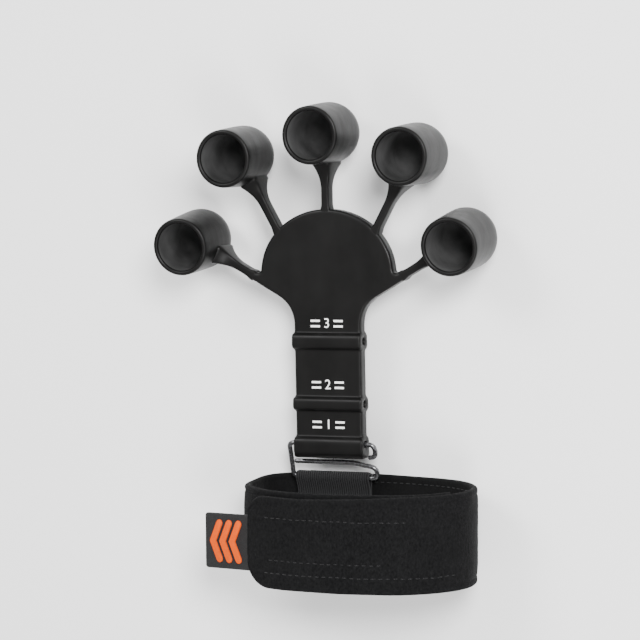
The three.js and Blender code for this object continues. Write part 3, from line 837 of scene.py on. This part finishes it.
turn_runs = []
for side in (-1, 1):
    turn_runs.append(turn_seam(side, 3, LEFT_END - 25))
    turn_runs.append(turn_seam(side, LEFT_END + 45, turn_path.length - LEFT_END - 50))
stitches("turn_stitching", turn_runs, "wristband")


# ---- Webbing ----
def webbing():
    """One tape: from its sewn end, under the ring's lower bar, round it and back."""
    middle = WIRE_R + WIRE_GAP + WEB_T / 2
    bar = Vector((RING_BAR_Y + SHIFT_Y, RING_BAR_Z))
    low = bar.y - middle
    top = low + WEB_T + 0.1
    end = WEB_END_Y + SHIFT_Y
    line = [Vector((mix(end, bar.x, t), low)) for t in steps(0, 1, 24)]
    for t in steps(-math.pi / 2, math.pi * 0.62, 18)[1:]:
        line.append(bar + Vector((math.cos(t), math.sin(t))) * middle)
    leave = line[-1]
    sewn = WEB_HINGE_Y + SHIFT_Y + 1
    for t in steps(0, 1, 8)[1:]:
        line.append(Vector((mix(leave.x, sewn, t), mix(leave.y, top, math.sin(t * math.pi / 2)))))
    line += [Vector((mix(sewn, end, t), top)) for t in steps(0, 1, 14)[1:]]
    rim = [0, 0.15, 0.4, 0.8]
    across = rim + steps(1.6, WEB_W - 1.6, 44) + [WEB_W - d for d in reversed(rim)]
    rings = []
    for i, place in enumerate(line):
        ahead = (line[min(i + 1, len(line) - 1)] - line[max(i - 1, 0)]).normalized()
        out = Vector((ahead.y, -ahead.x))
        top_row, low_row = [], []
        for d in across:
            edge = min(d, WEB_W - d)
            thick = WEB_T / 2 * (0.55 + 0.45 * clamp(edge / 0.8))
            rib = WEB_RIB_DEPTH * math.sin(d * 2 * math.pi / WEB_RIB_PITCH)
            for row, sign in ((top_row, 1), (low_row, -1)):
                p = place + out * sign * (thick - 0.04 + rib)
                row.append(Vector((WEB_X + d - WEB_W / 2, p.x, p.y)))
        rings.append(top_row + low_row[::-1])
    return skin(rings)


tape = make_mesh("webbing_tape", *webbing(), MATERIALS["webbing"], 60)
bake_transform(tape)
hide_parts("webbing_loop", "webbing_tail")


def straight_run(a, b):
    """A run of stitches from a to b."""
    return (b - a).length, lambda distance: a + (b - a).normalized() * distance


def box_stitch_runs():
    """A rectangle with both diagonals, on the webbing's sewn end."""
    low_y, high_y = WEB_END_Y + SEAM + SHIFT_Y, WEB_HINGE_Y - 2 + SHIFT_Y
    left, right = WEB_X - WEB_W / 2 + SEAM, WEB_X + WEB_W / 2 - SEAM
    z = RING_BAR_Z - WIRE_R - WIRE_GAP + WEB_T + 0.05
    places = [(left, low_y), (right, low_y), (right, high_y), (left, high_y)]
    corners = [Vector((*place, z)) for place in places]
    sides = list(zip(corners, corners[1:] + corners[:1]))
    sides += [(corners[0], corners[2]), (corners[1], corners[3])]
    return [straight_run(a, b) for a, b in sides]


stitches("webbing_box_stitches", box_stitch_runs(), "wristband", ["webbing_box_stitch"])


# ---- Pull tab and chevrons ----
def tab_frame(plate):
    """The tab's own frame from the CAD plate: X to the flap, Y across, Z out of its face."""
    faces = sorted(plate.polygons, key=lambda f: -f.area)
    normal = next(f.normal for f in faces if f.normal.z > 0.3).copy()
    points = [v.co / MM for v in plate.vertices]
    centre = sum(points, Vector()) / len(points)
    for edge in plate.edges:
        a, b = (points[i] for i in edge.vertices)
        if abs((b - a).length - TAB_LENGTH) < 0.3 and abs((b - a).dot(normal)) < 0.05:
            to_flap = (b - a) if a.x < b.x else (a - b)
    to_flap.normalize()
    basis = Matrix((to_flap, normal.cross(to_flap).normalized(), normal)).transposed().to_4x4()
    return Matrix.Translation(centre) @ basis


# The tape is turned a little about its root and moved across, to follow the picture.
half_x, half_y = TAB_LENGTH / 2, TAB_W / 2
root_of_tab = Matrix.Translation((half_x, TAB_SHIFT, 0))
turned_at_root = root_of_tab @ Matrix.Rotation(TAB_TURN, 4, "Z")
TAB = tab_frame(frame["nodes"]["pull_tab"].data) @ turned_at_root
TAB = TAB @ Matrix.Translation((-half_x, 0, 0))


def tab_ring(x):
    """The tape's section at x: thin at its rims, and rounded at the free corners."""
    edge = x + half_x
    rest = TAB_CORNER - min(edge, TAB_CORNER)
    half = half_y - TAB_CORNER + math.sqrt(TAB_CORNER ** 2 - rest ** 2)
    thick = TAB_T / 2 * mix(0.5, 1, clamp(edge / 0.4))
    rows = [(-half, 0.5), (-half + 0.15, 0.8), (-half + 0.45, 1)]
    rows += [(mix(-half, half, t), 1) for t in steps(0.06, 0.94, 16)]
    rows += [(-y, share) for y, share in reversed(rows[:3])]
    top = [TAB @ Vector((x, y, thick * share)) for y, share in rows]
    low = [TAB @ Vector((x, y, -thick * share)) for y, share in rows]
    return top + low[::-1]


slices = [-half_x + d for d in (0, 0.06, 0.2, 0.4, 0.7, 1.0, 1.4)]
slices += steps(-half_x + 2, half_x + TAB_TUCK, 44)
tab = make_mesh("pull_tab_tape", *skin([tab_ring(x) for x in slices]), MATERIALS["tab_fabric"], 60)
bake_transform(tab)
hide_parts("pull_tab")


def chevron(index):
    """A bent bar with rounded ends, raised from the tab's face."""
    tip = -half_x + CHEVRON_FIRST + CHEVRON_STROKE * 0.6 + index * CHEVRON_PITCH
    reach, half = CHEVRON_REACH, CHEVRON_HALF - CHEVRON_STROKE / 2
    spine = [Vector((tip + reach, half)), Vector((tip, 0)), Vector((tip + reach, -half))]
    radius = CHEVRON_STROKE / 2
    ring = []
    first = (spine[0] - spine[1]).normalized()
    second = (spine[2] - spine[1]).normalized()

    def end_cap(centre, way):
        base = math.atan2(way.y, way.x)
        for t in steps(base - math.pi / 2, base + math.pi / 2, 8):
            ring.append(centre + Vector((math.cos(t), math.sin(t))) * radius)

    end_cap(spine[0], first)
    bend = radius / math.sin(first.angle(Vector((1, 0))))
    ring.append(spine[1] - Vector((bend, 0)))
    end_cap(spine[2], second)
    ring.append(spine[1] + Vector((bend, 0)))
    rings = []
    for inset, z in ((0, TAB_T / 2 - 0.05), (0, TAB_T / 2 + 0.4), (0.22, TAB_T / 2 + 0.6)):
        middle = Vector((tip + reach / 2, 0))
        rings.append([
            TAB @ Vector((*(middle + (p - middle) * (1 - inset / half)), z)) for p in ring
        ])
    return skin(rings)


for index in range(3):
    mark = make_mesh(f"tab_chevron_{index + 1}", *chevron(index), MATERIALS["chevron"], 40)
    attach(mark, "pull_tab")
    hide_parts(f"chevron_{index + 1}")


# ---- Floor, lights and camera, in metres and watts ----
FLOOR_SIZE, FLOOR_DROP = 6, 0.0004
LIGHTS = [  # name, place, size, power
    ("key", (0.55, 0.35, 1.0), 0.45, 22),
    ("fill", (0.5, -0.6, 0.9), 0.5, 8),
    ("top", (-0.5, 0.6, 0.9), 0.5, 9),
]
WORLD_STRENGTH = 0.85


def stage_floor():
    """A wide pale floor, just under the part."""
    bpy.ops.mesh.primitive_plane_add(size=FLOOR_SIZE, location=(0, 0, -FLOOR_DROP))
    floor = bpy.context.object
    floor.name = "floor"
    floor.data.materials.append(new_material("floor", (0.93, 0.93, 0.93), 0.9)[0])


def area_light(name, place, target, size, power):
    """A soft round light that faces the target."""
    light = bpy.data.lights.new(name, "AREA")
    light.shape = "DISK"
    light.size, light.energy = size, power
    lamp = bpy.data.objects.new(name, light)
    lamp.location = place
    lamp.rotation_euler = (Vector(target) - Vector(place)).to_track_quat("-Z", "Y").to_euler()
    bpy.context.scene.collection.objects.link(lamp)


stage_floor()
centre = (CAD_BOX[0] + CAD_BOX[1]) / 2
for name, place, size, power in LIGHTS:
    area_light(name, place, centre, size, power)
world = bpy.data.worlds.new("studio")
world.use_nodes = True
world.node_tree.nodes["Background"].inputs["Color"].default_value = (1, 1, 1, 1)
world.node_tree.nodes["Background"].inputs["Strength"].default_value = WORLD_STRENGTH
bpy.context.scene.world = world

CAMERA_DISTANCE = 1.1
CAMERA_YAW, CAMERA_RISE = math.radians(22), math.radians(1.5)
CAMERA_TARGET = Vector((-3.9, -19.26 + SHIFT_Y, 15)) * MM
CAMERA_LENS, CAMERA_SENSOR = 151.6, 36
data = bpy.data.cameras.new("camera")
data.lens, data.sensor_width = CAMERA_LENS, CAMERA_SENSOR
data.clip_start, data.clip_end = 0.01, 10
camera = bpy.data.objects.new("camera", data)
back = Vector((
    math.sin(CAMERA_YAW) * math.cos(CAMERA_RISE),
    math.sin(CAMERA_RISE),
    math.cos(CAMERA_YAW) * math.cos(CAMERA_RISE),
))
right = Vector((0, 1, 0)).cross(back).normalized()
up = back.cross(right)
turned = Matrix((right, up, back)).transposed().to_4x4()
camera.matrix_world = Matrix.Translation(CAMERA_TARGET + back * CAMERA_DISTANCE) @ turned
bpy.context.scene.collection.objects.link(camera)
bpy.context.scene.camera = camera
